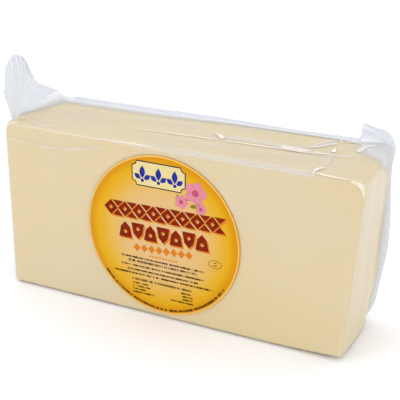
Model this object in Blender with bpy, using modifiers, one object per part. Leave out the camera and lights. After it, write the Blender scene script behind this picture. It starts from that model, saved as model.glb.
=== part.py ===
"""A block of kashkaval cheese sealed in a clear vacuum bag, with a round label on its front face.

The block stands on its long narrow side. +X runs along the block, the label faces -Y and +Z is up.
The origin is the middle of the underside. Sizes are in metres, written as millimetres times MM.
"""

import math

import bmesh
import bpy
from mathutils import Matrix, Vector

MM = 0.001

# The block, with the film drawn tight over it
LENGTH = 271.0 * MM
DEPTH = 68.0 * MM
HEIGHT = 130.6 * MM
EDGE_RADIUS = 3.5 * MM
EDGE_SEGMENTS = 4
FRONT_END_LEAN = 4.5 * MM  # the right end's front edge stands this far out at the top, in at the bottom
BACK_END_LEAN = 2.6 * MM
BACK_END_TUCK = 1.1 * MM  # the right end's back edge is drawn in this far
HEEL_FROM = 60.0 * MM  # the underside is flat up to here, then turns up towards the right end
HEEL_LIFT = 2.3 * MM
HEEL_STEPS = 3

LEFT = -LENGTH / 2
RIGHT = LENGTH / 2
FRONT = -DEPTH / 2
BACK = DEPTH / 2

# The flat back web of the bag, whose rim stands past the block as a seal flange
WEB_THICKNESS = 1.2 * MM
WEB_PROUD = 0.2 * MM
FLANGE_LEFT = 2.4 * MM  # its height above the block at the left, at the right and in the middle
FLANGE_RIGHT = 3.3 * MM
FLANGE_SWELL = 0.1 * MM
BELLY = 4.0 * MM  # how far it stands out halfway down the right end
BELLY_TOP = 112.0 * MM
BELLY_FOOT = 20.0 * MM
FLOOR_CLEARANCE = 0.4 * MM

# The ear of spare film at the top right corner of the web
EAR_FROM = RIGHT - 22.0 * MM
EAR_HEIGHT = 15.5 * MM

# The gathered mouth of the bag, standing up over the left end like a tail
TAIL_PLANE = LEFT + 0.9 * MM
TAIL_LEAN = 1.6 * MM  # its tip leans this far out past its root
TAIL_THICKNESS = 1.2 * MM
TAIL_PLEATS = 6
TAIL_PLEAT_DEPTH = 2.4 * MM
TAIL_PLEAT_SHARE = 0.05  # a pleat is never deeper than this share of the tail's width
TAIL_COLUMNS = 48
TAIL_ROWS = 20

# The spare film folded flat on the left end, under the tail
FOLD_THICKNESS = 1.1 * MM
FOLD_EMBED = 0.6 * MM
SEAL_RIBS = 5
SEAL_RIB_RADIUS = 0.5 * MM
SEAL_RIB_SPACING = 2.2 * MM

CREASE_RADIUS = 0.75 * MM
WELD_DISTANCE = 0.001 * MM

# The label
LABEL_DIAMETER = 119.6 * MM
LABEL_THICKNESS = 0.35 * MM
LABEL_GAP = 0.3 * MM
LABEL_CENTRE_X = -4.2 * MM
LABEL_CENTRE_Z = 64.5 * MM
LABEL_SEGMENTS = 96

FILM_COLOUR = (0.79, 0.66, 0.41)
LABEL_COLOUR = (0.80, 0.43, 0.06)


def clear_scene():
    for obj in list(bpy.data.objects):
        bpy.data.objects.remove(obj, do_unlink=True)


def new_collection(name):
    collection = bpy.data.collections.new(name)
    bpy.context.scene.collection.children.link(collection)
    return collection


def new_object(name, mesh, collection):
    obj = bpy.data.objects.new(name, mesh)
    collection.objects.link(obj)
    return obj


def mesh_from(name, bm):
    """The bmesh as a mesh with its faces pointing out; the bmesh is freed."""
    bmesh.ops.recalc_face_normals(bm, faces=bm.faces)
    mesh = bpy.data.meshes.new(name)
    bm.to_mesh(mesh)
    bm.free()
    return mesh


def finish(name, colour, roughness):
    """A Principled material of one colour."""
    material = bpy.data.materials.new(name)
    material.use_nodes = True
    shader = material.node_tree.nodes["Principled BSDF"]
    shader.inputs["Base Color"].default_value = (*colour, 1.0)
    shader.inputs["Roughness"].default_value = roughness
    shader.inputs["Metallic"].default_value = 0.0
    return material


def evaluated_mesh(obj):
    """What the object's modifiers or curve settings make, as a mesh of its own with its seams welded."""
    bpy.context.view_layer.update()
    graph = bpy.context.evaluated_depsgraph_get()
    mesh = bpy.data.meshes.new_from_object(obj.evaluated_get(graph))
    bm = bmesh.new()
    bm.from_mesh(mesh)
    bmesh.ops.remove_doubles(bm, verts=bm.verts, dist=WELD_DISTANCE)
    bm.to_mesh(mesh)
    bm.free()
    return mesh


def curve_to_mesh_object(curve, collection):
    """A mesh object in place of the curve object, which is removed."""
    obj = new_object(curve.name + "_mesh", evaluated_mesh(curve), collection)
    obj.matrix_world = curve.matrix_world.copy()
    bpy.data.objects.remove(curve, do_unlink=True)


def plate(name, outline, thickness, matrix, collection):
    """A flat closed outline, given in its own XY plane, thickened to both sides and placed by matrix."""
    curve = bpy.data.curves.new(name, "CURVE")
    curve.dimensions = "2D"
    curve.fill_mode = "BOTH"
    curve.extrude = thickness / 2
    spline = curve.splines.new("POLY")
    spline.points.add(len(outline) - 1)
    for point, (x, y) in zip(spline.points, outline):
        point.co = (x, y, 0.0, 1.0)
    spline.use_cyclic_u = True
    obj = new_object(name, curve, collection)
    obj.matrix_world = matrix
    curve_to_mesh_object(obj, collection)


def bead(name, points, radius, collection):
    """A round bead along a smooth curve through the points, with closed ends."""
    curve = bpy.data.curves.new(name, "CURVE")
    curve.dimensions = "3D"
    curve.resolution_u = 4
    curve.bevel_depth = radius
    curve.bevel_resolution = 1
    curve.use_fill_caps = True
    spline = curve.splines.new("NURBS")
    spline.points.add(len(points) - 1)
    for point, place in zip(spline.points, points):
        point.co = (*place, 1.0)
    spline.use_endpoint_u = True
    spline.order_u = min(3, len(points))
    curve_to_mesh_object(new_object(name, curve, collection), collection)


def hull(name, points, collection):
    """The smallest convex solid round the points."""
    bm = bmesh.new()
    for point in points:
        bm.verts.new(point)
    made = bmesh.ops.convex_hull(bm, input=bm.verts)
    inside = [item for item in made["geom_interior"] if isinstance(item, bmesh.types.BMVert)]
    bmesh.ops.delete(bm, geom=inside, context="VERTS")
    new_object(name, mesh_from(name, bm), collection)


def right_end(y, z):
    """Where the right end's leaning face stands in X, at this Y and Z."""
    up = 2 * z / HEIGHT - 1
    front = RIGHT + FRONT_END_LEAN * up
    back = RIGHT - BACK_END_TUCK + BACK_END_LEAN * up
    return front + (back - front) * (y - FRONT) / DEPTH


def heel(x):
    """How far the underside is off the floor at this X."""
    return HEEL_LIFT * max(0.0, (x - HEEL_FROM) / (RIGHT - HEEL_FROM)) ** 2


def cheese_block(collection):
    """The block with its leaning end, its heel and its rounded edges."""
    bm = bmesh.new()
    size = Matrix.Diagonal((LENGTH, DEPTH, HEIGHT, 1.0))
    bmesh.ops.create_cube(bm, size=1.0, matrix=Matrix.Translation((0, 0, HEIGHT / 2)) @ size)
    for step in range(HEEL_STEPS):
        x = HEEL_FROM + step * (RIGHT - HEEL_FROM) / HEEL_STEPS
        everything = bm.verts[:] + bm.edges[:] + bm.faces[:]
        bmesh.ops.bisect_plane(bm, geom=everything, plane_co=(x, 0, 0), plane_no=(1, 0, 0))
    for vert in bm.verts:
        x, y, z = vert.co
        if z < HEIGHT / 2:
            vert.co.z = heel(x)
        if x > RIGHT - MM:
            vert.co.x = right_end(y, z)
    obj = new_object("cheese_block", mesh_from("cheese_block", bm), collection)
    bevel = obj.modifiers.new("rounded_edges", "BEVEL")
    bevel.width = EDGE_RADIUS
    bevel.segments = EDGE_SEGMENTS
    bevel.limit_method = "ANGLE"
    bevel.angle_limit = math.radians(30)
    return obj


def flange_outline():
    """The outline of the back web in X and Z: up the left end, along the top, over the ear and down."""
    top = HEIGHT
    left = [
        (LEFT + 2.0 * MM, FLOOR_CLEARANCE),
        (LEFT + 0.3 * MM, 5 * MM),
        (LEFT + 0.2 * MM, top - 4 * MM),
        (LEFT - 0.2 * MM, top + 5.8 * MM),
        (LEFT + 1.6 * MM, top + 5.0 * MM),
        (LEFT + 7.6 * MM, top + 1.3 * MM),
        (LEFT + 12 * MM, top + 0.3 * MM),
        (LEFT + 15.6 * MM, top + 0.4 * MM),
        (LEFT + 19 * MM, top + FLANGE_LEFT - 0.2 * MM),
    ]
    along = []
    steps = 12
    for step in range(steps + 1):
        share = step / steps
        x = LEFT + 23 * MM + share * (EAR_FROM - LEFT - 26 * MM)
        rise = FLANGE_LEFT + (FLANGE_RIGHT - FLANGE_LEFT) * share + FLANGE_SWELL * math.sin(math.pi * share)
        along.append((x, top + rise))
    ear = [
        (EAR_FROM - 0.4 * MM, top + FLANGE_RIGHT + 0.8 * MM),
        (EAR_FROM + 0.3 * MM, top + EAR_HEIGHT),
        (EAR_FROM + 9.6 * MM, top + EAR_HEIGHT - 1.5 * MM),
        (EAR_FROM + 17.8 * MM, top + EAR_HEIGHT - 3.4 * MM),
        (EAR_FROM + 21.4 * MM, top + EAR_HEIGHT - 7.1 * MM),
        (EAR_FROM + 23.2 * MM, top + EAR_HEIGHT - 11.2 * MM),
        (EAR_FROM + 24.6 * MM, top + EAR_HEIGHT - 16.2 * MM),
        (EAR_FROM + 23.4 * MM, top + EAR_HEIGHT - 21.5 * MM),
    ]
    down = []
    steps = 14
    for step in range(steps + 1):
        z = BELLY_TOP - step / steps * (BELLY_TOP - 14 * MM)
        share = min(1.0, (BELLY_TOP - z) / (BELLY_TOP - BELLY_FOOT))
        down.append((right_end(BACK, z) + 0.4 * MM + BELLY * math.sin(math.pi * share) ** 1.5, z))
    foot = [
        (RIGHT - 5.8 * MM, 7 * MM),
        (RIGHT - 9 * MM, HEEL_LIFT),
        (HEEL_FROM + 40 * MM, heel(HEEL_FROM + 40 * MM) + FLOOR_CLEARANCE),
        (HEEL_FROM, FLOOR_CLEARANCE),
    ]
    return left + along + ear + down + foot


def back_web(collection):
    """The flat film behind the block with its flange and ear, in the plane of the back face."""
    upright = Matrix.Rotation(math.radians(90), 4, "X")
    middle = BACK + WEB_PROUD - WEB_THICKNESS / 2
    place = Matrix.Translation((0, middle, 0)) @ upright
    plate("back_web", flange_outline(), WEB_THICKNESS, place, collection)


def corner_gusset(collection):
    """Film bridging from the ear down onto the top and the right end of the block."""
    web = BACK - 0.3 * MM
    top = HEIGHT
    points = [
        (EAR_FROM - 0.6 * MM, web, top + 3.2 * MM),
        (RIGHT + 1.2 * MM, web, top + 1.4 * MM),
        (RIGHT + 0.7 * MM, web, top - 12 * MM),
        (RIGHT - 19 * MM, web - 12 * MM, top - 0.4 * MM),
        (RIGHT - 5 * MM, web - 22.5 * MM, top - 0.4 * MM),
        (right_end(6 * MM, top) - 1.0 * MM, 6 * MM, top - 3 * MM),
        (right_end(24 * MM, top) - 0.6 * MM, 24 * MM, top - 13 * MM),
        (RIGHT - 10 * MM, web - 2 * MM, top - 13 * MM),
    ]
    hull("corner_gusset", points, collection)


def tail_root(collection):
    """Film bridging from the tail's crease down onto the top left edge of the block."""
    top = HEIGHT
    points = [
        (LEFT - 0.2 * MM, FRONT + 12 * MM, top - 2 * MM),
        (LEFT - 0.3 * MM, BACK - 0.3 * MM, top + 4.2 * MM),
        (LEFT + 1.5 * MM, BACK - 0.3 * MM, top + 4.0 * MM),
        (LEFT + 21 * MM, BACK - 1.4 * MM, top - 0.5 * MM),
        (LEFT + 8 * MM, BACK - 16 * MM, top - 0.5 * MM),
        (LEFT + 3 * MM, FRONT + 12 * MM, top - 2 * MM),
        (LEFT + 1 * MM, 0, top - 9 * MM),
        (LEFT + 1 * MM, BACK - 1.4 * MM, top - 9 * MM),
    ]
    hull("tail_root", points, collection)


def between(stations, share):
    """The place at this share of the way up a list of (share, y, z) stations, joined by straight runs."""
    for (low, *start), (high, *end) in zip(stations, stations[1:]):
        if share <= high:
            step = (share - low) / (high - low)
            return Vector(start).lerp(Vector(end), step)
    return Vector(stations[-1][1:])


def tail_sides():
    """The tail's front and back edges, in Y and Z, from its root inside the block to its tip."""
    top = HEIGHT
    front = [
        (0.00, FRONT + 12.3 * MM, top - 6 * MM),
        (0.14, FRONT + 10.4 * MM, top + 3 * MM),
        (0.45, FRONT + 5.4 * MM, top + 20 * MM),
        (0.58, FRONT + 6.9 * MM, top + 28 * MM),
        (0.72, FRONT + 9.6 * MM, top + 34.5 * MM),
        (0.86, FRONT + 15.6 * MM, top + 40.6 * MM),
        (1.00, FRONT + 20.5 * MM, top + 43.5 * MM),
    ]
    back = [
        (0.00, BACK - 0.6 * MM, top - 6 * MM),
        (0.14, BACK + 0.2 * MM, top + 6.0 * MM),
        (0.32, BACK - 8.9 * MM, top + 10.4 * MM),
        (0.48, BACK - 19.3 * MM, top + 15.4 * MM),
        (0.58, BACK - 24.4 * MM, top + 21.4 * MM),
        (0.72, BACK - 28.6 * MM, top + 28.9 * MM),
        (0.86, BACK - 32.8 * MM, top + 35.8 * MM),
        (1.00, BACK - 42.2 * MM, top + 42.8 * MM),
    ]
    return front, back


def tail(collection):
    """The gathered mouth of the bag: a sheet whose pleats fan up from its root and deepen to its tip."""
    front, back = tail_sides()
    bm = bmesh.new()
    bmesh.ops.create_grid(bm, x_segments=TAIL_COLUMNS, y_segments=TAIL_ROWS, size=0.5)
    for vert in bm.verts:
        across = vert.co.x + 0.5
        up = vert.co.y + 0.5
        start = between(front, up)
        end = between(back, up)
        y, z = start.lerp(end, across)
        depth = min(TAIL_PLEAT_DEPTH * max(0.0, up - 0.12), TAIL_PLEAT_SHARE * (end - start).length)
        held = math.sin(math.pi * min(1.0, max(0.0, across))) ** 0.5
        wave = math.sin(TAIL_PLEATS * 2 * math.pi * across + 2.4 * up)
        x = TAIL_PLANE - TAIL_LEAN * up + depth * held * wave
        vert.co = (x, y, z)
    # Its thickness is laid on straight along X, so that no pleat folds through its neighbour.
    doubled = bmesh.ops.extrude_face_region(bm, geom=bm.faces[:])["geom"]
    far_side = [item for item in doubled if isinstance(item, bmesh.types.BMVert)]
    bmesh.ops.translate(bm, verts=far_side, vec=(-TAIL_THICKNESS, 0, 0))
    new_object("tail", mesh_from("tail", bm), collection)


def end_folds(collection):
    """The mouth folded flat on the left end: a tapering strip with a ribbed seal, over a lower ear."""
    strip = [
        (FRONT + 12.5 * MM, HEIGHT - 4 * MM),
        (FRONT + 18 * MM, HEIGHT * 0.72),
        (FRONT + 19 * MM, 16 * MM),
        (FRONT + 23 * MM, 9 * MM),
        (BACK - 24 * MM, 9 * MM),
        (BACK - 20 * MM, 16 * MM),
        (BACK - 17 * MM, HEIGHT * 0.72),
        (BACK - 4 * MM, HEIGHT - 4 * MM),
    ]
    lower_ear = [
        (FRONT + 6 * MM, 6 * MM),
        (BACK - 6 * MM, 6 * MM),
        (BACK - 9 * MM, 12 * MM),
        (3 * MM, 40 * MM),
        (-3 * MM, 40 * MM),
        (FRONT + 9 * MM, 12 * MM),
    ]
    # A plate's X and Y become the block's Y and Z.
    facing_left = Matrix(((0, 0, 1, 0), (1, 0, 0, 0), (0, 1, 0, 0), (0, 0, 0, 1)))
    for name, outline, thickness in (
        ("end_strip", strip, FOLD_THICKNESS),
        ("lower_ear", lower_ear, FOLD_THICKNESS * 0.6),
    ):
        middle = LEFT + FOLD_EMBED - (thickness + FOLD_EMBED) / 2
        place = Matrix.Translation((middle, 0, 0)) @ facing_left
        plate(name, outline, thickness + FOLD_EMBED, place, collection)
    for rib in range(SEAL_RIBS):
        y = FRONT + 22 * MM + rib * SEAL_RIB_SPACING
        face = LEFT - FOLD_THICKNESS
        ends = ((face, y, 18 * MM), (face, y, HEIGHT * 0.45), (face, y, HEIGHT * 0.72))
        bead(f"seal_rib_{rib}", ends, SEAL_RIB_RADIUS, collection)


def top_creases(collection):
    """Where the film stands in low ridges on the top face, each given by its places in X and Y."""
    creases = {
        "long_crease": ((-60, -7.5), (-36, -6.4), (10, -2.8), (47, -2.4), (90, -0.8), (108, 2), (121, 8)),
        "back_crease": ((66, 8.8), (80, 7.4), (92, 12.5), (103, 22), (112, 31)),
        "front_crease": ((102, -30.5), (104.2, -23.2), (106.5, -16), (112, -6), (119, 2)),
    }
    for name, places in creases.items():
        points = [(x * MM, y * MM, HEIGHT - 0.1 * MM) for x, y in places]
        bead(name, points, CREASE_RADIUS, collection)


def drop_scraps(mesh):
    """Keeps the one large body of the mesh and deletes any sliver that the union leaves beside it."""
    bm = bmesh.new()
    bm.from_mesh(mesh)
    unseen = set(bm.verts)
    bodies = []
    while unseen:
        body = set()
        edge = {unseen.pop()}
        while edge:
            body |= edge
            edge = {e.other_vert(v) for v in edge for e in v.link_edges} - body
        unseen -= body
        bodies.append(body)
    bodies.sort(key=len)
    scraps = [vert for body in bodies[:-1] for vert in body]
    bmesh.ops.delete(bm, geom=scraps, context="VERTS")
    bm.to_mesh(mesh)
    bm.free()
    return mesh


def sealed_block(collection):
    """The block and all of its film, fused into one solid."""
    pieces = new_collection("film_pieces")
    block = cheese_block(collection)
    for build in (back_web, corner_gusset, tail_root, tail, end_folds, top_creases):
        build(pieces)
    union = block.modifiers.new("fused_film", "BOOLEAN")
    union.operation = "UNION"
    union.operand_type = "COLLECTION"
    union.collection = pieces
    union.solver = "EXACT"
    union.use_self = True
    obj = new_object("vacuum_bag", drop_scraps(evaluated_mesh(block)), collection)
    for piece in [block, *pieces.objects]:
        bpy.data.objects.remove(piece, do_unlink=True)
    bpy.data.collections.remove(pieces)
    obj.data.materials.clear()
    obj.data.materials.append(finish("clear_film_over_cheese", FILM_COLOUR, 0.3))
    obj.data.shade_smooth()
    obj.data.set_sharp_from_angle(angle=math.radians(35))


def round_label(collection):
    """The paper label, a thin disc just clear of the front face."""
    bm = bmesh.new()
    bmesh.ops.create_cone(
        bm,
        cap_ends=True,
        segments=LABEL_SEGMENTS,
        radius1=LABEL_DIAMETER / 2,
        radius2=LABEL_DIAMETER / 2,
        depth=LABEL_THICKNESS,
        matrix=Matrix.Rotation(math.radians(90), 4, "X"),
    )
    obj = new_object("round_label", mesh_from("round_label", bm), collection)
    obj.location = (LABEL_CENTRE_X, FRONT - LABEL_GAP - LABEL_THICKNESS / 2, LABEL_CENTRE_Z)
    obj.data.materials.append(finish("printed_label_paper", LABEL_COLOUR, 0.45))


def main():
    clear_scene()
    collection = new_collection("kashkaval_cheese")
    sealed_block(collection)
    round_label(collection)


main()
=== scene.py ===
"""Dresses a vacuum-packed block of kashkaval: the cheese, its clear bag and its printed round label.

It is laid out as an add-on and run as a script. Sizes are in millimetres until MM turns them into metres.
+X runs along the block, the label faces -Y and +Z is up, as in the CAD model that it is built around.
"""

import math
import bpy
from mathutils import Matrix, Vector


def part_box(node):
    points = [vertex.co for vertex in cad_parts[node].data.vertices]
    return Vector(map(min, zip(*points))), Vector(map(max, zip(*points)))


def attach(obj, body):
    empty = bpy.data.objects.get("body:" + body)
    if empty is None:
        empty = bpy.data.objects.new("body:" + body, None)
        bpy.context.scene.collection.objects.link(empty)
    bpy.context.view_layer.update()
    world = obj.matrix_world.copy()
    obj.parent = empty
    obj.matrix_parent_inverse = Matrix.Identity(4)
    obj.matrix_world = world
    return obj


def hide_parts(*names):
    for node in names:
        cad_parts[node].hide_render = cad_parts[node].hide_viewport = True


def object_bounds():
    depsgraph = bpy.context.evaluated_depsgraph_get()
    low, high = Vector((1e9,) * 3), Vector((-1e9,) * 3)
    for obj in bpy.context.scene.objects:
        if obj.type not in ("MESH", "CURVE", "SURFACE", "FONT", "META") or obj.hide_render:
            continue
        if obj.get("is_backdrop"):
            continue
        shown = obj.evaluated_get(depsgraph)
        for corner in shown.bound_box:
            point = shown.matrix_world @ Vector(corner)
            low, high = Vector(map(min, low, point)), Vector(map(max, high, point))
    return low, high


bl_info = {
    "name": "Vacuum-packed kashkaval",
    "version": (1, 0, 0),
    "blender": (4, 5, 0),
    "location": "View3D > Sidebar > Kashkaval",
    "description": "Builds a block of cheese in a clear vacuum bag with a round printed label",
    "category": "Add Mesh",
}

from functools import partial

import bmesh
import bpy
import numpy as np
from bpy.props import FloatProperty, FloatVectorProperty, PointerProperty
from mathutils import Matrix, Vector, noise

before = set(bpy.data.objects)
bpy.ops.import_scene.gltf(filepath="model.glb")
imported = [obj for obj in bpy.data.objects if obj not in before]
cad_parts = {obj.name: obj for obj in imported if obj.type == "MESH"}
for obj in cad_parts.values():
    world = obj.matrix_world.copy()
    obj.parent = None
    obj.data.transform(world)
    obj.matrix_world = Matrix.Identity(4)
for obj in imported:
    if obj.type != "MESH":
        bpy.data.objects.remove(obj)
CAD_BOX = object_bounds()

MM = 0.001
BODY = "root"
SHARP_EDGE = math.radians(50)

# The block, as the CAD model has it
LENGTH, DEPTH, HEIGHT = 271.0, 68.0, 130.6
LEFT, RIGHT = -LENGTH / 2, LENGTH / 2
FRONT, BACK = -DEPTH / 2, DEPTH / 2
FRONT_END_LEAN = 4.5
BACK_END_LEAN = 2.6
BACK_END_TUCK = 1.1
LEAN_FROM = 110.3
HEEL_FROM = 60.0
HEEL_LIFT = 2.3
SQUARE_FROM, SQUARE_TO = -118, 131  # where the top back edge is squarer, in X

# The label is centred on the CAD's, but lies flat on the film.
LABEL_CENTRE = sum(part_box("round_label"), Vector()) / 2 / MM
LABEL_WIDTH = 119.6
LABEL_THICKNESS = 0.3
LABEL_FACE = FRONT - 0.4
PRINT_THICKNESS = 0.06
PRINT_STEP = 0.05  # from one layer of print to the next


# ---------------------------------------------------------------- helpers


def srgb(code):
    """A hex colour as linear red, green, blue and alpha."""
    values = [int(code[i : i + 2], 16) / 255 for i in (1, 3, 5)]
    linear = [v / 12.92 if v <= 0.04045 else ((v + 0.055) / 1.055) ** 2.4 for v in values]
    return (*linear, 1.0)


def add_node(tree, kind, inputs=None, **settings):
    """One node. inputs gives each socket, by name or place, a value, an output, a node for its first output,
    or the tree's own inputs for the one of the same name."""
    made = tree.nodes.new(kind)
    for name, value in settings.items():
        setattr(made, name, value)
    for name, value in (inputs or {}).items():
        if isinstance(value, bpy.types.bpy_prop_collection):
            value = value[name]
        elif isinstance(value, bpy.types.Node):
            value = value.outputs[0]
        if isinstance(value, bpy.types.NodeSocket):
            tree.links.new(value, made.inputs[name])
        else:
            made.inputs[name].default_value = value
    return made


def link_object(name, data):
    obj = bpy.data.objects.new(name, data)
    bpy.context.scene.collection.objects.link(obj)
    return obj


def evaluated_mesh(obj):
    """What the object's modifiers or curve settings make, as a mesh of its own. The object goes."""
    bpy.context.view_layer.update()
    graph = bpy.context.evaluated_depsgraph_get()
    mesh = bpy.data.meshes.new_from_object(obj.evaluated_get(graph))
    bpy.data.objects.remove(obj, do_unlink=True)
    return mesh


def new_tree(name, **inputs):
    """An empty Geometry Nodes tree with labelled inputs of each kind, what adds its nodes, and its inputs."""
    tree = bpy.data.node_groups.new(name, "GeometryNodeTree")
    tree.is_modifier = True
    tree.interface.new_socket("Geometry", in_out="OUTPUT", socket_type="NodeSocketGeometry")
    for kind, labels in {**inputs, "Material": ["Material"]}.items():
        for label in labels:
            tree.interface.new_socket(label, in_out="INPUT", socket_type="NodeSocket" + kind)
    return tree, partial(add_node, tree), tree.nodes.new("NodeGroupInput").outputs


def end_tree(tree, kind, inputs):
    """Every tree ends with this node, its instances made real and given their material."""
    real = add_node(tree, "GeometryNodeRealizeInstances", {"Geometry": add_node(tree, kind, inputs)})
    given = tree.nodes["Group Input"].outputs
    painted = add_node(tree, "GeometryNodeSetMaterial", {"Geometry": real, "Material": given})
    add_node(tree, "NodeGroupOutput", {"Geometry": painted})
    return tree


def grow(name, tree, values):
    """The tree's result as a plain mesh, each input set by its socket's identifier."""
    carrier = link_object(name + "_carrier", bpy.data.meshes.new(name + "_carrier"))
    modifier = carrier.modifiers.new(name, "NODES")
    modifier.node_group = tree
    for item in tree.interface.items_tree:
        if item.in_out == "INPUT":
            modifier[item.identifier] = values[item.name]
    mesh = evaluated_mesh(carrier)
    if not mesh.polygons:
        raise RuntimeError(f"{name} came out empty")
    return mesh


def new_curve(name, lines, closed=False, **settings):
    """A curve with a straight-sided spline through each line's points, in 3D unless the settings say 2D."""
    curve = bpy.data.curves.new(name, "CURVE")
    for key, value in {"dimensions": "3D", **settings}.items():
        setattr(curve, key, value)
    for line in lines:
        spline = curve.splines.new("POLY")
        spline.points.add(len(line) - 1)
        for point, place in zip(spline.points, line):
            point.co = (*place, 1.0)
        spline.use_cyclic_u = closed
    return link_object(name, curve)


def face_outwards(mesh, name, merge=0.0):
    """Names the mesh, merges points closer than this and turns its faces outwards."""
    bm = bmesh.new()
    bm.from_mesh(mesh)
    if merge:
        bmesh.ops.remove_doubles(bm, verts=bm.verts, dist=merge)
    bmesh.ops.recalc_face_normals(bm, faces=bm.faces)
    bm.to_mesh(mesh)
    bm.free()
    mesh.name = name
    mesh.materials.clear()
    return mesh


def points_of(mesh):
    co = np.empty(len(mesh.vertices) * 3)
    mesh.vertices.foreach_get("co", co)
    return co.reshape(-1, 3) / MM


def move_points(mesh, co):
    mesh.vertices.foreach_set("co", (co * MM).ravel())
    mesh.update()


def store(mesh, **kept):
    """Keeps numbers for a material to read, one or one a vertex."""
    for name, values in kept.items():
        layer = mesh.attributes.new(name, "FLOAT", "POINT")
        spread = np.broadcast_to(np.clip(values, 0, 1), len(mesh.vertices))
        layer.data.foreach_set("value", spread.astype(np.float32))


def finish_piece(name, mesh, slot, *stands_for):
    """Makes a smooth piece of the mesh on the body, and names its finish and the CAD nodes it stands for."""
    piece = link_object(name, mesh)
    mesh.shade_smooth()
    mesh.set_sharp_from_angle(angle=SHARP_EDGE)
    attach(piece, BODY)
    if stands_for:
        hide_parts(*stands_for)
    return piece


def smooth_step(value, low, high):
    t = np.clip((value - low) / (high - low), 0, 1)
    return t * t * (3 - 2 * t)


def rounded(line, rounds=2):
    """The line with its corners cut, its two ends kept."""
    line = [np.array(p, float) for p in line]
    for _ in range(rounds):
        cut = [line[0]]
        for a, b in zip(line, line[1:]):
            cut += [a * 0.75 + b * 0.25, a * 0.25 + b * 0.75]
        line = cut + [line[-1]]
    return np.array(line)


def on_line(line, share):
    """The place at this share of the way through a line's points."""
    return np.array([np.interp(share, np.linspace(0, 1, len(line)), column) for column in line.T])


def along(points, line):
    """Each point's distance to a line, and how far along the line its nearest place is, from 0 to 1."""
    steps = np.diff(line, axis=0)
    lengths = np.linalg.norm(steps, axis=1)
    starts = np.concatenate([[0.0], np.cumsum(lengths)])
    gap = np.full(len(points), 1e9)
    where = np.zeros(len(points))
    for i, (start, step, length) in enumerate(zip(line, steps, lengths)):
        share = np.clip((points - start) @ step / length**2, 0, 1)
        far = np.linalg.norm(points - start - share[:, None] * step, axis=1)
        nearer = far < gap
        gap[nearer] = far[nearer]
        where[nearer] = (starts[i] + share * length)[nearer]
    return gap, where / starts[-1]


def rough(co, size, seed):
    """Smooth noise from -1 to 1, with bumps of this size."""
    shift = Vector((seed * 7.3, seed * 3.1, seed * 5.7))
    return np.array([noise.noise(Vector(p) / size + shift) for p in co])


# ---------------------------------------------------------------- materials


def new_material(name):
    """A bare material, what adds its nodes, and places on the object as their coordinates."""
    material = bpy.data.materials.new(name)
    material.use_nodes = True
    material.node_tree.nodes.clear()
    node = partial(add_node, material.node_tree)
    return material, node, node("ShaderNodeTexCoord").outputs["Object"]


def mottled(node, place, scale, detail, low, share, one, other):
    """One colour turned into up to this share of another by a noise, and the noise."""
    spots = node("ShaderNodeTexNoise", {"Vector": place, "Scale": scale, "Detail": detail})
    shade = node("ShaderNodeMapRange", {"Value": spots, 1: low, 2: 1 - low, 4: share})
    return node("ShaderNodeMix", {0: shade, 6: one, 7: other}, data_type="RGBA").outputs[2], spots


def cheese_material(look):
    # Kashkaval paste, stretched, pressed in a mould and cut with a wire: dense, pale and a little waxy. Light
    # goes a few millimetres in, so its edges glow, and its colour drifts over several centimetres.
    material, node, place = new_material("pressed_kashkaval_paste")
    pale, deep, dark = ((*c, 1) for c in (look.paste_colour, look.paste_deep_colour, look.paste_grain_colour))
    colour, _ = mottled(node, place, 14.0, 2.0, 0.35, 1.0, pale, deep)
    # Curd grains of 2 to 3 mm, pressed flat, show as faint mottling.
    colour, grain = mottled(node, place, 380.0, 3.0, 0.3, 0.12, colour, dark)
    bump = node("ShaderNodeBump", {"Height": grain, "Strength": 0.15, "Distance": 0.0003})
    body = {"Base Color": colour, "Roughness": 0.5, "IOR": 1.45, "Specular IOR Level": 0.1, "Normal": bump}
    glow = {"Subsurface Weight": 0.25, "Subsurface Radius": (1.0, 0.62, 0.3), "Subsurface Scale": 0.006}
    paste = node("ShaderNodeBsdfPrincipled", {**body, **glow})
    node("ShaderNodeOutputMaterial", {"Surface": paste})
    return material


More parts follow.
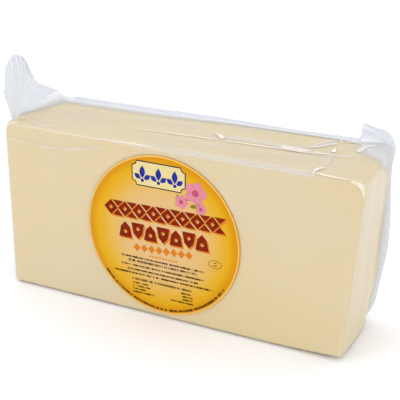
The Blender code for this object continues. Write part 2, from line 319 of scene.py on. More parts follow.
def film_material(name, look, clouded, through, bump_size, bump_height, crease=None):
    """Clear polyethylene and polyamide film. clouded is its colour where it is milky, through is the share of
    the light on the milk that goes on to the other side, and crease is its colour along a sharp fold."""
    # Film is glossy and lets light through; where it stretches, folds or bridges air it turns milky (haze),
    # and in places that milkiness is also a painted sheen or reflection. White along folds and crests is a
    # painted highlight (glint), which in places also lifts shaded corners. Both are kept a number a vertex.
    material, node, place = new_material(name)
    haze = node("ShaderNodeAttribute", attribute_name="haze").outputs["Fac"]
    glint = node("ShaderNodeAttribute", attribute_name="glint").outputs["Fac"]
    ripple = node("ShaderNodeTexNoise", {"Vector": place, "Scale": 1 / (bump_size * MM), "Detail": 2.0})
    bump = node("ShaderNodeBump", {"Height": ripple, "Strength": 0.5, "Distance": bump_height * MM})
    clear = node("ShaderNodeBsdfTransparent", {"Color": srgb("#fdfdfe")})
    gloss = node("ShaderNodeBsdfGlossy", {"Color": srgb("#f4f6ff"), "Roughness": 0.16, "Normal": bump})
    # A thin film mirrors the same from both sides: 5% head on, and more at a slant.
    slant = node("ShaderNodeLayerWeight", {"Blend": 0.5, "Normal": bump}).outputs["Facing"]
    slant = node("ShaderNodeMath", {0: slant, 1: 5.0}, operation="POWER")
    skin = node("ShaderNodeMath", {0: slant, 1: 0.5, 2: 0.05}, operation="MULTIPLY_ADD")
    film = node("ShaderNodeMixShader", {0: skin, 1: clear, 2: gloss})
    milk_and_sheen = node("ShaderNodeBsdfDiffuse", {"Color": srgb(clouded)})
    glow = node("ShaderNodeBsdfTranslucent", {"Color": srgb(clouded)})
    milk_and_sheen = node("ShaderNodeMixShader", {0: through, 1: milk_and_sheen, 2: glow})
    film = node("ShaderNodeMixShader", {0: haze, 1: film, 2: milk_and_sheen})
    # The painted highlight: a flat white laid over the film as far as its number says.
    white = srgb(crease) if crease else (*look.crease_colour, 1)
    white = node("ShaderNodeBsdfDiffuse", {"Color": white})
    film = node("ShaderNodeMixShader", {0: glint, 1: film, 2: white})
    node("ShaderNodeOutputMaterial", {"Surface": film})
    return material


# The gold ground from the label's middle to its rim
GROUND = (
    (0.0, "#d4af7a"), (0.36, "#d4af78"), (0.55, "#d3ad6c"), (0.68, "#d5a94f"),
    (0.78, "#d5a32e"), (0.87, "#d39f0a"), (0.94, "#cc8b00"), (0.975, "#c98900"),
)


def label_material():
    # Coated label paper, offset printed: a gold ground that pales towards the middle, under a thin varnish.
    material, node, place = new_material("gold_printed_label_paper")
    centred = node("ShaderNodeMapping", {"Vector": place, "Location": -LABEL_CENTRE * MM})
    flat = node("ShaderNodeVectorMath", {0: centred, 1: (1, 0, 1)}, operation="MULTIPLY")
    far = node("ShaderNodeVectorMath", {0: flat}, operation="LENGTH").outputs["Value"]
    cloud = node("ShaderNodeTexNoise", {"Vector": place, "Scale": 40.0, "Detail": 1.0})
    cloud = node("ShaderNodeMapRange", {"Value": cloud, 3: -0.0015, 4: 0.0015})
    far = node("ShaderNodeMath", {0: far, 1: cloud}, operation="ADD")
    share = node("ShaderNodeMapRange", {"Value": far, 1: 0.0, 2: LABEL_WIDTH / 2 * MM})
    ramp = node("ShaderNodeValToRGB", {"Fac": share})
    stops = ramp.color_ramp.elements
    stops.remove(stops[1])
    stops[0].color = srgb(GROUND[0][1])
    for position, code in GROUND[1:]:
        stops.new(position).color = srgb(code)
    fibre = node("ShaderNodeTexNoise", {"Vector": place, "Scale": 900.0, "Detail": 2.0})
    bump = node("ShaderNodeBump", {"Height": fibre, "Strength": 0.1, "Distance": 0.0001})
    body = {"Base Color": ramp, "Roughness": 0.5, "IOR": 1.45, "Specular IOR Level": 0.15, "Normal": bump}
    node("ShaderNodeOutputMaterial", {"Surface": node("ShaderNodeBsdfPrincipled", body)})
    return material


def ink_material(name, code):
    # Offset ink on coated paper: flat colour, with the faint unevenness of the press.
    material, node, place = new_material(name)
    colour, _ = mottled(node, place, 260.0, 2.0, 0.3, 0.04, srgb(code), srgb("#d8a860"))
    body = {"Base Color": colour, "Roughness": 0.5, "IOR": 1.48, "Specular IOR Level": 0.04}
    node("ShaderNodeOutputMaterial", {"Surface": node("ShaderNodeBsdfPrincipled", body)})
    return material


def floor_material():
    # Matte white studio paper.
    material, node, place = new_material("white_studio_paper")
    colour, _ = mottled(node, place, 60.0, 2.0, 0.0, 1.0, srgb("#f8f8f9"), srgb("#fafafb"))
    node("ShaderNodeOutputMaterial", {"Surface": node("ShaderNodeBsdfDiffuse", {"Color": colour})})
    return material


# ---------------------------------------------------------------- the block and the film over it


def block_tree():
    """A box on a fine grid, denser towards its edges, with its edges rounded."""
    tree, node, given = new_tree(
        "rounded_block",
        Vector=("Half Size", "Inner Half Size", "Centre"),
        Int=("Vertices X", "Vertices Y", "Vertices Z"),
        Float=("Edge Radius",),
    )
    cube = {"Size": (2, 2, 2), "Vertices X": given, "Vertices Y": given, "Vertices Z": given}
    cube = node("GeometryNodeMeshCube", cube)
    unit = node("GeometryNodeInputPosition")
    inner = given["Inner Half Size"]
    crowd = 0.33  # how much closer the grid's lines lie towards the edges
    maths = "ShaderNodeVectorMath"
    square = node(maths, {0: unit, 1: unit}, operation="MULTIPLY")
    slope = node(maths, {0: square, 1: (-crowd,) * 3, 2: (1 + crowd,) * 3}, operation="MULTIPLY_ADD")
    spread = node(maths, {0: unit, 1: slope}, operation="MULTIPLY")
    box = node(maths, {0: spread, 1: given["Half Size"]}, operation="MULTIPLY")
    low = node(maths, {0: inner, "Scale": -1.0}, operation="SCALE")
    core = node(maths, {0: box, 1: inner}, operation="MINIMUM")
    core = node(maths, {0: core, 1: low}, operation="MAXIMUM")
    out = node(maths, {0: box, 1: core}, operation="SUBTRACT")
    out = node(maths, {0: out}, operation="NORMALIZE")
    out = node(maths, {0: out, "Scale": given["Edge Radius"]}, operation="SCALE")
    place = node(maths, {0: core, 1: out}, operation="ADD")
    place = node(maths, {0: place, 1: given["Centre"]}, operation="ADD")
    return end_tree(tree, "GeometryNodeSetPosition", {"Geometry": cube, "Position": place})


def back_rise(x, y):
    """The top face is a little higher along its back edge, towards the right."""
    return 1.3 * smooth_step(x, -60, 30) * smooth_step(y, 8, 34)


def rounded_block(name, inset, radius, cells, material):
    """The block's shape, this far inside the CAD's, as a mesh with its points and outward directions."""
    half = np.array([LENGTH, DEPTH, HEIGHT]) / 2 - inset
    inner = half - radius
    centre = np.array([0, 0, HEIGHT / 2])
    values = {"Half Size": half, "Inner Half Size": inner, "Centre": centre}
    values = {label: tuple(value * MM) for label, value in values.items()}
    values.update(zip(("Vertices X", "Vertices Y", "Vertices Z"), cells))
    mesh = grow(name, block_tree(), {**values, "Edge Radius": radius * MM, "Material": material})
    co = points_of(mesh)
    out = co - centre - np.clip(co - centre, -inner, inner)
    out /= np.linalg.norm(out, axis=1)[:, None]
    x, y, z = co.T
    # The right end leans, more at its front than at its back, and the heel under it is lifted.
    up = 2 * z / HEIGHT - 1
    front = FRONT_END_LEAN * up
    lean = front + (BACK_END_LEAN * up - BACK_END_TUCK - front) * (y - FRONT) / DEPTH
    x += np.clip((x - LEAN_FROM) / (RIGHT - LEAN_FROM), 0, 1) * lean
    z += HEEL_LIFT * np.clip((x - HEEL_FROM) / (RIGHT - HEEL_FROM), 0, 1) ** 2 * (1 - z / HEIGHT)
    z += back_rise(x, y) * np.clip(out[:, 2] * 2, 0, 1)
    # Along the back the top edge is squarer.
    goal = HEIGHT - inset + back_rise(x, y)
    square = (y > BACK - 5) & (out[:, 2] > 0.25) & (x > SQUARE_FROM) & (x < SQUARE_TO)
    z[square] = np.maximum(z, goal)[square]
    # The top left edge and the right end's lower back corner are tucked in.
    x += 2.4 * smooth_step(z, 119, 132) * smooth_step(-x, 122, 135) * smooth_step(-y, 8, 30)
    tuck = smooth_step(-z, -42, -4) * smooth_step(y, 6, 34) * smooth_step(x, 122, 133)
    x -= 3.6 * tuck
    z += 2.2 * tuck * (1 - z / HEIGHT)
    return mesh, co, out


def build_cheese(look, sizes):
    """The cheese itself: gently uneven faces, as pressed and cut."""
    paste = cheese_material(look)
    mesh, co, out = rounded_block("cheese_block", 0.5, sizes.edge_radius / MM, (150, 44, 70), paste)
    uneven = np.clip(0.16 * rough(co, 45, 1) + 0.05 * rough(co, 9, 2), -0.3, 0.12)
    move_points(mesh, co + out * uneven[:, None])
    return finish_piece("cheese_block", mesh, "cheese")


# Soft swellings of the film: places in X and Y on the top face, half widths at both ends, height, and how
# milky they are; the milkiness is a painted sheen on the swollen film. The first is the broad pale band
# beside the long crease.
TOP_SWELLINGS = (
    (((24, 4.0), (40, 6.0), (56, 5.5), (70, 4.5), (88, 3.0)), 4.0, 3.2, 0.30, 0.34),
    (((87, 3.5), (97, 4.2), (108, 3.6), (121, 6.5)), 2.0, 1.2, 0.30, 0.34),
    (((84, 11), (90, 18), (94, 24), (99, 31)), 1.6, 2.4, 0.25, 0.36),
    (((102, 8.5), (103.5, 2), (105.8, -9), (107, -19)), 2.6, 1.6, 0.35, 0.34),
    (((-128, -22), (-114, -15), (-96, -11), (-70, -8)), 1.8, 0.9, 0.22, 0.14),
    (((-118, -24), (-108, -30), (-98, -33)), 1.2, 2.2, 0.25, 0.30),
    (((-110, -26), (-103, -21), (-92, -18)), 0.9, 0.7, 0.30, 0.26),
    (((-60, 12), (-30, 15), (4, 15)), 4.0, 6.0, 0.15, 0.14),
    (((14, 26), (50, 26), (80, 27)), 4.0, 3.0, 0.10, 0.12),
    (((-20, -16), (20, -14), (70, -14)), 3.0, 5.0, 0.10, 0.13),
)


def swell(flat):
    """Height and milkiness that the swellings give to places on the top face."""
    height = np.zeros(len(flat))
    haze = np.zeros(len(flat))
    for places, start, end, tall, milky in TOP_SWELLINGS:
        gap, share = along(flat, rounded(places))
        width = start + (end - start) * share
        ends = smooth_step(share, 0, 0.12) * (1 - smooth_step(share, 0.85, 1.0))
        height = np.maximum(height, tall * np.exp(-((gap / width) ** 2)) * ends)
        haze = np.maximum(haze, milky * np.exp(-((gap / width) ** 4)) * ends)
    return height, haze


def build_tight_film(look, sizes):
    """The film drawn onto the block, bridging air at the tail's root and behind the right corner."""
    film = film_material("drawn_vacuum_film", look, "#d4d5d5", 0.1, 7, 0.3, "#f3f4f5")
    mesh, co, out = rounded_block("tight_film", 0.0, sizes.edge_radius / MM, (230, 84, 88), film)
    x, y, z = co.T
    top = np.clip(out[:, 2], 0, 1)
    upper = out[:, 2] > 0.02
    tall, milk_and_sheen = swell(co[:, :2])
    haze = [milk_and_sheen * top]
    # The swellings also carry a painted highlight, 0.4 times their painted sheen.
    glint = [0.4 * milk_and_sheen * top]
    lift = (0.11 * rough(co, 32, 3) + 0.05 * rough(co, 8, 4)) * (out[:, 2] > -0.5)
    moved = co + out * (lift + tall * top)[:, None]

    # Along the rounded edge between the top and front faces lies a painted reflection: milky haze with some
    # painted highlight, placed by which way the surface faces.
    painted_edge_sheen = np.interp(x, [-110, -20, 20, 100, 112], [0.12, 0.18, 0.40, 0.36, 0.10])
    painted_edge_sheen *= np.sqrt(2 * top * np.clip(-out[:, 1], 0, 1))
    haze.append(painted_edge_sheen)
    glint.append(0.35 * painted_edge_sheen)

    # It is a little cloudy in patches a few centimetres wide, five times as much on the top face as on the
    # sides, where it is partly a painted sheen.
    sheen_patches = rough(co * [0.6, 1.3, 1.3], 26, 5)
    haze.append((0.04 + 0.10 * smooth_step(sheen_patches, -0.2, 0.5)) * (0.2 + 0.8 * top))

    # At the left the film climbs from the top face to the fold at the tail's root.
    rise = np.interp(y, [-34, -22, -8, 11.4, 25, 34], [-3.0, -1.8, -0.2, 1.6, 3.4, 4.6])
    inward = np.clip((x - LEFT) / np.interp(y, [-22, 34], [4, 21]), 0, 1)
    hold = smooth_step(y, -20, -6) * ((inward < 1) & upper)
    goal = np.maximum(HEIGHT + rise * (1 - inward) ** 1.3, moved[:, 2])
    moved[:, 2] += (goal - moved[:, 2]) * hold
    haze.append(0.97 * hold * (1 - inward) ** 0.45)
    # A painted highlight near the fold, and painted light that lifts the shaded foot of the climb.
    glint.append(hold * (0.25 * (1 - inward) ** 0.5 + 0.4 * (1 - inward) ** 2))

    # Behind the right corner it bridges to the ear of the seal.
    landing = rounded([(109, 37), (113, 30), (117, 19.5), (131, 10), (141, 2)])
    gap, _ = along(co[:, :2], landing)
    inside = (y > np.interp(x, landing[:, 0], landing[:, 1])) & (x > 109) & upper
    moved[:, 2] += np.where(inside, np.minimum(0.15 * gap, 2.6), 0) * np.clip(out[:, 2] * 2, 0, 1)
    into = np.where(inside, gap, -gap)
    veil = 0.5 * smooth_step(into, -6, 2) + 0.32 * smooth_step(into, 0, 6)
    veil *= smooth_step(x, 103, 110) * upper
    haze.append(veil)
    # Painted light brightens the shaded web, most near where it lands.
    glint.append(veil * (0.3 - 0.26 * smooth_step(into, 2, 10)))

    # On the right end the same web shows as a milky wedge under the corner, and as pale upright bands.
    end = np.clip(out[:, 0], 0, 1) * (x > 0)
    wedge = smooth_step(z - (123 - (y + 8) * 0.35), 0, 16) * smooth_step(y, -2, 20)
    haze.append(0.85 * wedge * end)
    bands = 0.5 + 0.5 * np.sin(y / 4.6 + 1.1 + 1.1 * rough(co, 34, 6))
    haze.append(end * (0.02 + 0.07 * bands) * (0.5 + 0.5 * smooth_step(z, 0, 70)))
    belly = np.sin(np.pi * np.clip((112 - z) / 92, 0, 1)) ** 1.5
    web = smooth_step(y, 16, 34) * end
    moved[:, 0] += 1.6 * belly * web**2
    haze.append(0.75 * web * (0.45 + 0.55 * belly))

    # Against the seal flange it fills the corner with a milky ramp, wide at the left and narrow at the right.
    width = np.interp(x, [-110, -60, -20, 40, 90], [15, 14, 11, 6, 3])
    ramp = smooth_step(y, BACK - width, BACK - 0.3) * upper
    moved[:, 2] += 0.5 * ramp * (x > SQUARE_FROM) * (x < SQUARE_TO)
    haze.append(0.9 * ramp**0.8)
    # Painted light brightens the ramp, which lies in the shaded corner by the flange.
    glint.append(0.42 * ramp)

    # The upright edges show as pale lines of painted reflection.
    haze.append(0.2 * np.clip(1 - np.abs(np.abs(out[:, 0]) - 0.71) / 0.33, 0, 1) * (np.abs(out[:, 2]) < 0.6))
    move_points(mesh, moved)
    store(mesh, haze=np.max(haze, axis=0), glint=np.max(glint, axis=0))
    return finish_piece("tight_film", mesh, "film", "vacuum_bag")


# For each face: the axes that its drawings are given in, and the way towards it.
FACES = {"top": ((0, 1), (0, 0, -1)), "front": ((0, 2), (0, 1, 0))}


def on_film(face, place, above):
    """The point of the tight film under this place on a face, and this far in front of it."""
    axes, way = FACES[face]
    way = Vector(way)
    start = -0.3 * way
    for axis, value in zip(axes, place):
        start[axis] = value * MM
    hit, spot, _, _ = bpy.data.objects["tight_film"].ray_cast(start, way)
    if not hit:
        raise RuntimeError(f"{place} misses the film's {face}")
    return spot / MM - way * above


def ridge_tree():
    """A standing pleat of film along a path, scaled at each point by the path's radius."""
    tree, node, given = new_tree("film_ridge", Object=("Path",), Float=("Half Width", "Height", "Lean"))
    path = node("GeometryNodeObjectInfo", {"Object": given["Path"]}, transform_space="ORIGINAL")
    level = node("GeometryNodeSetCurveNormal", {"Curve": path.outputs["Geometry"]}, mode="Z_UP")
    size = node("ShaderNodeCombineXYZ", {"X": given["Height"], "Y": given["Half Width"], "Z": 1.0})
    turn = node("ShaderNodeCombineXYZ", {"Z": given["Lean"]})
    profile = node("GeometryNodeCurvePrimitiveCircle", {"Resolution": 3, "Radius": 1.0})
    profile = node("GeometryNodeTransform", {"Geometry": profile, "Scale": size})
    profile = node("GeometryNodeTransform", {"Geometry": profile, "Rotation": turn})
    radius = node("GeometryNodeInputRadius")
    sweep = {"Curve": level, "Profile Curve": profile, "Scale": radius, "Fill Caps": True}
    return end_tree(tree, "GeometryNodeCurveToMesh", sweep)


# Sharp pleats: the face, half width and height, how milky and how white they are, how thick they are at both
# ends, and the places along them. The milk and the white are painted sheen and highlight along each crest.
PLEATS = (
    ("top", 1.7, 0.46, 0.3, 0.8, 0.5, 1.0, (-46, -6.9), (-30, -6.2), (-13, -4.7), (10, -3.2), (28, -3.0)),
    (
        "top", 2.0, 0.50, 0.3, 1.0, 0.9, 0.8,
        (26, -3), (41, -1.5), (56, -0.8), (71, 0.4), (84, 0.4), (94, 2.2), (105, 4.3),
    ),
    ("top", 2.2, 0.50, 0.3, 0.9, 0.7, 1.0, (84, 10.6), (90.7, 15.3), (94.9, 20.7), (99.8, 25.0)),
    ("top", 1.7, 0.36, 0.2, 0.6, 0.6, 1.0, (86, 13), (88.8, 20.5), (92.4, 27.0), (98, 31.5)),
    ("top", 1.4, 0.46, 0.3, 0.9, 0.8, 0.8, (99.4, 32.0), (101.2, 29.4), (103.0, 26.4)),
    ("top", 1.8, 0.46, 0.3, 0.85, 0.6, 1.0, (103.1, 28.5), (106, 30.5), (109.0, 31.5), (113.0, 31.8)),
    ("top", 1.8, 0.46, 0.3, 0.8, 0.5, 0.8, (103, 30.5), (110, 32.0), (115, 30.5), (119.5, 24.0)),
    (
        "top", 1.5, 0.42, 0.1, 0.8, 0.8, 0.6,
        (105.0, -31.2), (109, -32.2), (116.0, -32.6), (122.0, -32.7), (130.0, -32.6),
    ),
    ("front", 1.1, 0.34, 0.2, 0.9, 0.7, 0.7, (-131.8, 126.4), (-127.5, 129.2), (-123.0, 130.1)),
    ("front", 1.3, 0.34, 0.3, 0.8, 0.4, 1.0, (-58, 128.7), (-40, 129.0), (-26, 129.2), (-12, 129.2)),
    (
        "front", 1.7, 0.07, 0.02, 0.24, 0.6, 1.0,
        (-134, 117), (-118, 117.6), (-101, 115.8), (-85, 116.4), (-72, 118.5), (-59, 121), (-47, 124.4),
    ),
    ("front", 1.6, 0.05, 0.02, 0.14, 0.9, 0.6, (-112, 127), (-103, 122.5), (-99.5, 117.6)),
)
# Wide bright folds: the face, how far the fold stands off, how milky and how white it is, and its two edges,
# which run the same way. Their brightness is a painted highlight on a slight bulge.
FOLDS = (
    (
        "top", 0.3, 0.5, 0.9,
        ((14.1, 9.7), (18.1, 9.6), (24.8, 8.1), (25.8, 3.7)),
        ((14.1, 9.7), (19.6, 4.7), (22.1, 0.4), (25.5, -1.0)),
    ),
    (
        "top", 0.3, 0.5, 0.6,
        ((66, 5.0), (71.8, 9.0), (77.4, 8.4), (82.1, 8.0), (90, 5.6)),
        ((66, 2.0), (72, -0.5), (78, -1.1), (84, -0.4), (90, 3.4)),
    ),
    ("top", 0.2, 0.5, 1.2, ((100.9, 17.5), (100.1, 8.5)), ((100.9, 17.5), (105.2, 9.8))),
    (
        "top", 0.3, 0.4, 0.95,
        ((104.1, -33.6), (102.4, -26.7), (103.2, -22.5), (107.6, -19.6)),
        ((104.6, -33.6), (105.2, -31), (106.2, -25.2), (108.2, -21.4)),
    ),
    (
        "top", 0.4, 0.5, 0.75,
        ((116.0, 15.5), (115.2, 21.6), (116.4, 24.5), (118.1, 28.3), (127.4, 29.0)),
        ((118.3, 15.5), (119.9, 18.6), (121.2, 22.5), (123.6, 25.0), (127.6, 28.0)),
    ),
    ("top", 0.15, 0.3, 0.7, ((-124.8, -27.0), (-124.2, -22.0)), ((-123.0, -27.0), (-122.8, -22.0))),
    (
        "front", 0.15, 0.0, 0.7,
        ((128.5, 129.4), (132, 130.0), (136, 129.9), (138.7, 128.6), (138.9, 125), (138.5, 120.0)),
        ((128.5, 129.0), (131.5, 128.0), (134.0, 126.6), (135.9, 124.2), (137.0, 121.9), (137.9, 120.0)),
    ),
)


def build_pleats(look, sizes):
    """Sharp pleats and wide bright folds, where the film is gathered on the block."""
    film = film_material("sharply_folded_film", look, "#dad7d8", 0.1, 4, 0.1)
    below = bpy.data.objects["tight_film"]
    tree = ridge_tree()
    made = []
    for number, (face, width, height, milky, white, first, last, *places) in enumerate(PLEATS, 1):
        path = new_curve("pleat_path", [[on_film(face, place, 0.03) * MM for place in rounded(places, 3)]])
        points = path.data.splines[0].points
        for point, share in zip(points, np.linspace(0, 1, len(points))):
            point.radius = (first + (last - first) * share) * max(0.01, math.sin(math.pi * share)) ** 0.6
        lean = math.radians(-90 if face == "top" else 180)
        values = {"Path": path, "Half Width": width * MM, "Height": height * MM, "Lean": lean}
        mesh = grow(f"pleat_{number}", tree, {**values, "Material": film})
        bpy.data.objects.remove(path, do_unlink=True)
        # The crest gets painted highlight and sheen, fading down to the pleat's feet.
        crest = []
        for vertex in mesh.vertices:
            _, spot, out, _ = below.closest_point_on_mesh(vertex.co)
            crest.append((vertex.co - spot).dot(out) / (0.6 * height * MM))
        crest = np.clip(crest, 0, 1)
        store(mesh, haze=milky * crest**0.5, glint=white * crest)
        made.append(finish_piece(f"pleat_{number}", mesh, "film"))
    for number, (face, bulge, milky, white, one, other) in enumerate(FOLDS):
        one, other = rounded(one), rounded(other)

        def place(u, v, side):
            spot = on_line(one, u) * (1 - v) + on_line(other, u) * v
            across = math.sin(math.pi * v)
            ends = min(1.0, 6 * u, 6 * (1 - u))
            above = 0.02 + (0.03 + bulge * across * ends) * (side + 1) / 2
            spread = 0.75 + 0.25 * noise.noise(Vector((u * 5, v * 2, number)))
            # The painted highlight is strongest across the fold's middle and fades to its rim and ends.
            bright = white * spread * min(1.0, 1.5 * across) ** 1.5 * ends
            return on_film(face, spot, above), milky * min(1.0, 2 * across) * ends, bright

        made.append(pouch(f"wide_fold_{number + 1}", 32, 12, place, film))
    return made


def pouch(name, columns, rows, place, film):
    """A piece of two layers of film sealed at their rim. place(u, v, side) gives a point, haze and glint."""
    # u and v run from 0 to 1; side is -1 and 1 on the two layers, and 0 on the rim that they share.
    index, points, faces = {}, [], []
    for side in (-1, 1):
        for j in range(rows + 1):
            for i in range(columns + 1):
                key = (i, j, 0 if i in (0, columns) or j in (0, rows) else side)
                if key not in index:
                    index[key] = len(points)
                    points.append(place(i / columns, j / rows, key[2]))
        for j in range(rows):
            for i in range(columns):
                ring = ((i, j), (i + 1, j), (i + 1, j + 1), (i, j + 1))
                faces.append([index.get((*corner, side), index.get((*corner, 0))) for corner in ring][::side])
    places, haze, glint = zip(*points)
    mesh = bpy.data.meshes.new(name)
    mesh.from_pydata([[value * MM for value in spot] for spot in places], [], faces)
    face_outwards(mesh, name)
    store(mesh, haze=haze, glint=glint)
    mesh.materials.append(film)
    return finish_piece(name, mesh, "film")


def arch(share, power):
    """0 at both ends and 1 halfway."""
    return max(0.0, math.sin(math.pi * share)) ** power


def near_rim(u, start):
    """0 until this share of the way from the middle out, and 1 at the rim."""
    return max(0.0, abs(u - 0.5) * 2 - start) / (1 - start)


# The outer line of the seal flange round the back, in X and Z: up the left end, along the top, over the ear
# and down the right end.
FLANGE_LINE = (
    (-134.6, 3), (-135.4, 40), (-135.4, 100), (-135.6, 128), (-135.9, 134.8), (-135.9, 136.3),
    (-135.0, 136.0), (-133.4, 135.0), (-130.6, 133.6), (-127.9, 131.9), (-123.3, 130.9), (-119.9, 131.0),
    (-116.5, 132.9), (-112, 133.1), (-94, 133.0), (-69, 133.2), (-45, 133.4), (-20.6, 133.8), (7, 134.2),
    (30, 133.9), (65, 133.5), (91, 134.0), (106, 134.2), (112.6, 134.4), (113.4, 138), (113.8, 146.2),
    (118, 145.4), (123.1, 144.6), (127.5, 143.7), (131.3, 142.8), (134.9, 139.1), (136.8, 134.9),
    (138.1, 130.2), (137.0, 125), (136.0, 115.6), (136.5, 101.2), (137.6, 86.6), (138.0, 71.7),
    (137.8, 56.4), (135.4, 40.3), (132.9, 23.9), (132.0, 15.9), (129.0, 7.1), (126.6, 3.0),
)


def ear_rise(z):
    return (z - HEIGHT - 3) / 12


def ear_curl(x, rise):
    """How far the ear curls forward."""
    return 2.4 * rise * max(0.0, math.sin((x - 112) * 0.12))


def build_flange(look, sizes):
    """The seal round the back of the bag, with the ear of spare film at its top right corner."""
    film = film_material("heat_sealed_film", look, "#d6dadf", 0.4, 5, 0.2)
    line = rounded(FLANGE_LINE, 1)
    lengths = np.concatenate([[0], np.cumsum(np.linalg.norm(np.diff(line, axis=0), axis=1))])
    lengths /= lengths[-1]

    def place(u, v, side):
        x, z = (np.interp(u, lengths, column) for column in line.T)
        inner_x = min(max(x, LEFT + 8), RIGHT - 11)
        inner_z = min(max(z, 9), HEIGHT - 6)
        x = inner_x + (x - inner_x) * (0.03 + 0.97 * v)
        z = inner_z + (z - inner_z) * (0.03 + 0.97 * v)
        free = min(1.0, max(0.0, z - HEIGHT, x - (RIGHT - 1), (LEFT + 1) - x) / 4)
        wave = math.sin(x * 0.095) * 0.4 + math.sin(x * 0.041 + z * 0.06 + 1.0) + math.sin(z * 0.11)
        ear = max(0.0, ear_rise(z)) if x > 100 else 0.0
        y = BACK + 0.5 + 0.16 * wave * free + 0.14 * side - ear_curl(x, ear)
        rim = max(0.0, (v - 0.9) / 0.1)
        return (x, y, z), 0.16 + 0.26 * smooth_step(v, 0.35, 0.6) + 0.14 * rim**2 + 0.03 * ear, 0.0

    return pouch("seal_flange", 520, 12, place, film)


def build_ear_folds(look, sizes):
    """Film folded over on the ear: a pale pointed fold, and the crease that runs down from its tip."""
    film = film_material("folded_ear_film", look, "#f3f6fa", 0.4, 4, 0.2, "#f6f8fc")
    upper = rounded(((113.9, 145.2), (117.0, 144.2), (121.2, 142.2), (125.9, 139.2)))
    lower = rounded(((113.7, 139.3), (118.0, 140.1), (122.3, 139.8), (125.9, 139.0)))

    def fold(u, v, side):
        x, z = on_line(lower, u) * (1 - v) + on_line(upper, u) * v
        bow = 0.6 * math.sin(math.pi * v) * (1 - 0.5 * u)
        y = BACK + 0.1 - ear_curl(x, ear_rise(z)) - bow + 0.1 * side
        # The painted highlight grows towards the fold's tip.
        tip = smooth_step(u, 0.25, 0.95)
        return (x, y, z), 0.45 + 0.1 * tip, 0.20 + 0.45 * tip

    def crease(u, v, side):
        x = 125.0 + 10.6 * u
        z = 139.7 - 5.9 * u + (v - 0.5) * 1.3 * (1 - 0.4 * u)
        return (x, BACK + 0.1 - ear_curl(x, ear_rise(z)) + 0.15 * side, z), 0.5, 0.22

    return [pouch("ear_fold", 40, 12, fold, film), pouch("ear_crease", 40, 4, crease, film)]


# The tail's front and back edges: share of its height, then Y and Z.
TAIL_FRONT = (
    (0.00, -21.6, 127.5), (0.14, -23.4, 134.0), (0.30, -26.0, 142.0), (0.44, -28.3, 149.6),
    (0.47, -28.4, 150.8), (0.49, -26.6, 151.8), (0.58, -26.0, 157.6), (0.68, -25.1, 162.8),
    (0.78, -23.3, 167.4), (0.88, -17.6, 171.9), (0.94, -14.8, 173.3), (1.00, -12.4, 173.9),
)
TAIL_BACK = (
    (0.00, 34.3, 133.6), (0.14, 34.3, 136.2), (0.32, 24.6, 141.0), (0.48, 14.5, 146.0), (0.56, 10.6, 149.6),
    (0.63, 8.0, 152.6), (0.70, 4.6, 156.0), (0.78, 2.2, 161.0), (0.86, 0.6, 165.6), (0.94, -3.6, 170.4),
    (1.00, -8.0, 173.0),
)
# Crumples that run down from the tip: Y and Z at both ends, half width and height, and how bright its painted
# highlight is.
TAIL_STREAKS = (
    (-17.5, 171.0, -15.8, 160.8, 1.0, 1.1, 0.34),
    (-13.4, 173.0, -12.6, 162.0, 0.9, -1.0, 0.00),
    (-10.6, 173.4, -9.4, 159.6, 0.9, 1.2, 0.55),
    (-7.8, 172.6, -7.6, 163.0, 0.7, -0.9, 0.00),
    (-5.0, 171.2, -6.4, 154.0, 0.8, 1.0, 0.36),
    (-3.0, 170.0, -3.6, 161.0, 0.7, -1.0, 0.00),
    (-1.8, 168.0, -0.8, 156.6, 0.8, 1.1, 0.40),
    (0.6, 164.6, 2.8, 155.6, 0.6, 0.8, 0.30),
    (-12.2, 161.0, -12.4, 150.6, 0.7, -0.8, 0.00),
    (-11.4, 150.4, -5.4, 153.8, 0.6, 0.9, 0.45),
    (-5.4, 153.8, -2.6, 159.0, 0.6, 0.8, 0.35),
    (-24.4, 164.4, -13.0, 160.0, 0.8, 0.7, 0.22),
    (-13.0, 160.0, -14.6, 151.6, 1.6, 0.5, 0.12),
)


def on_tail(stations, share):
    """Y and Z at this share of the tail's height."""
    heights, *columns = np.array(stations).T
    return np.array([np.interp(share, heights, column) for column in columns])


def tail_plane(share):
    """The tail leans outwards as it rises."""
    return LEFT - 0.5 - 1.6 * share


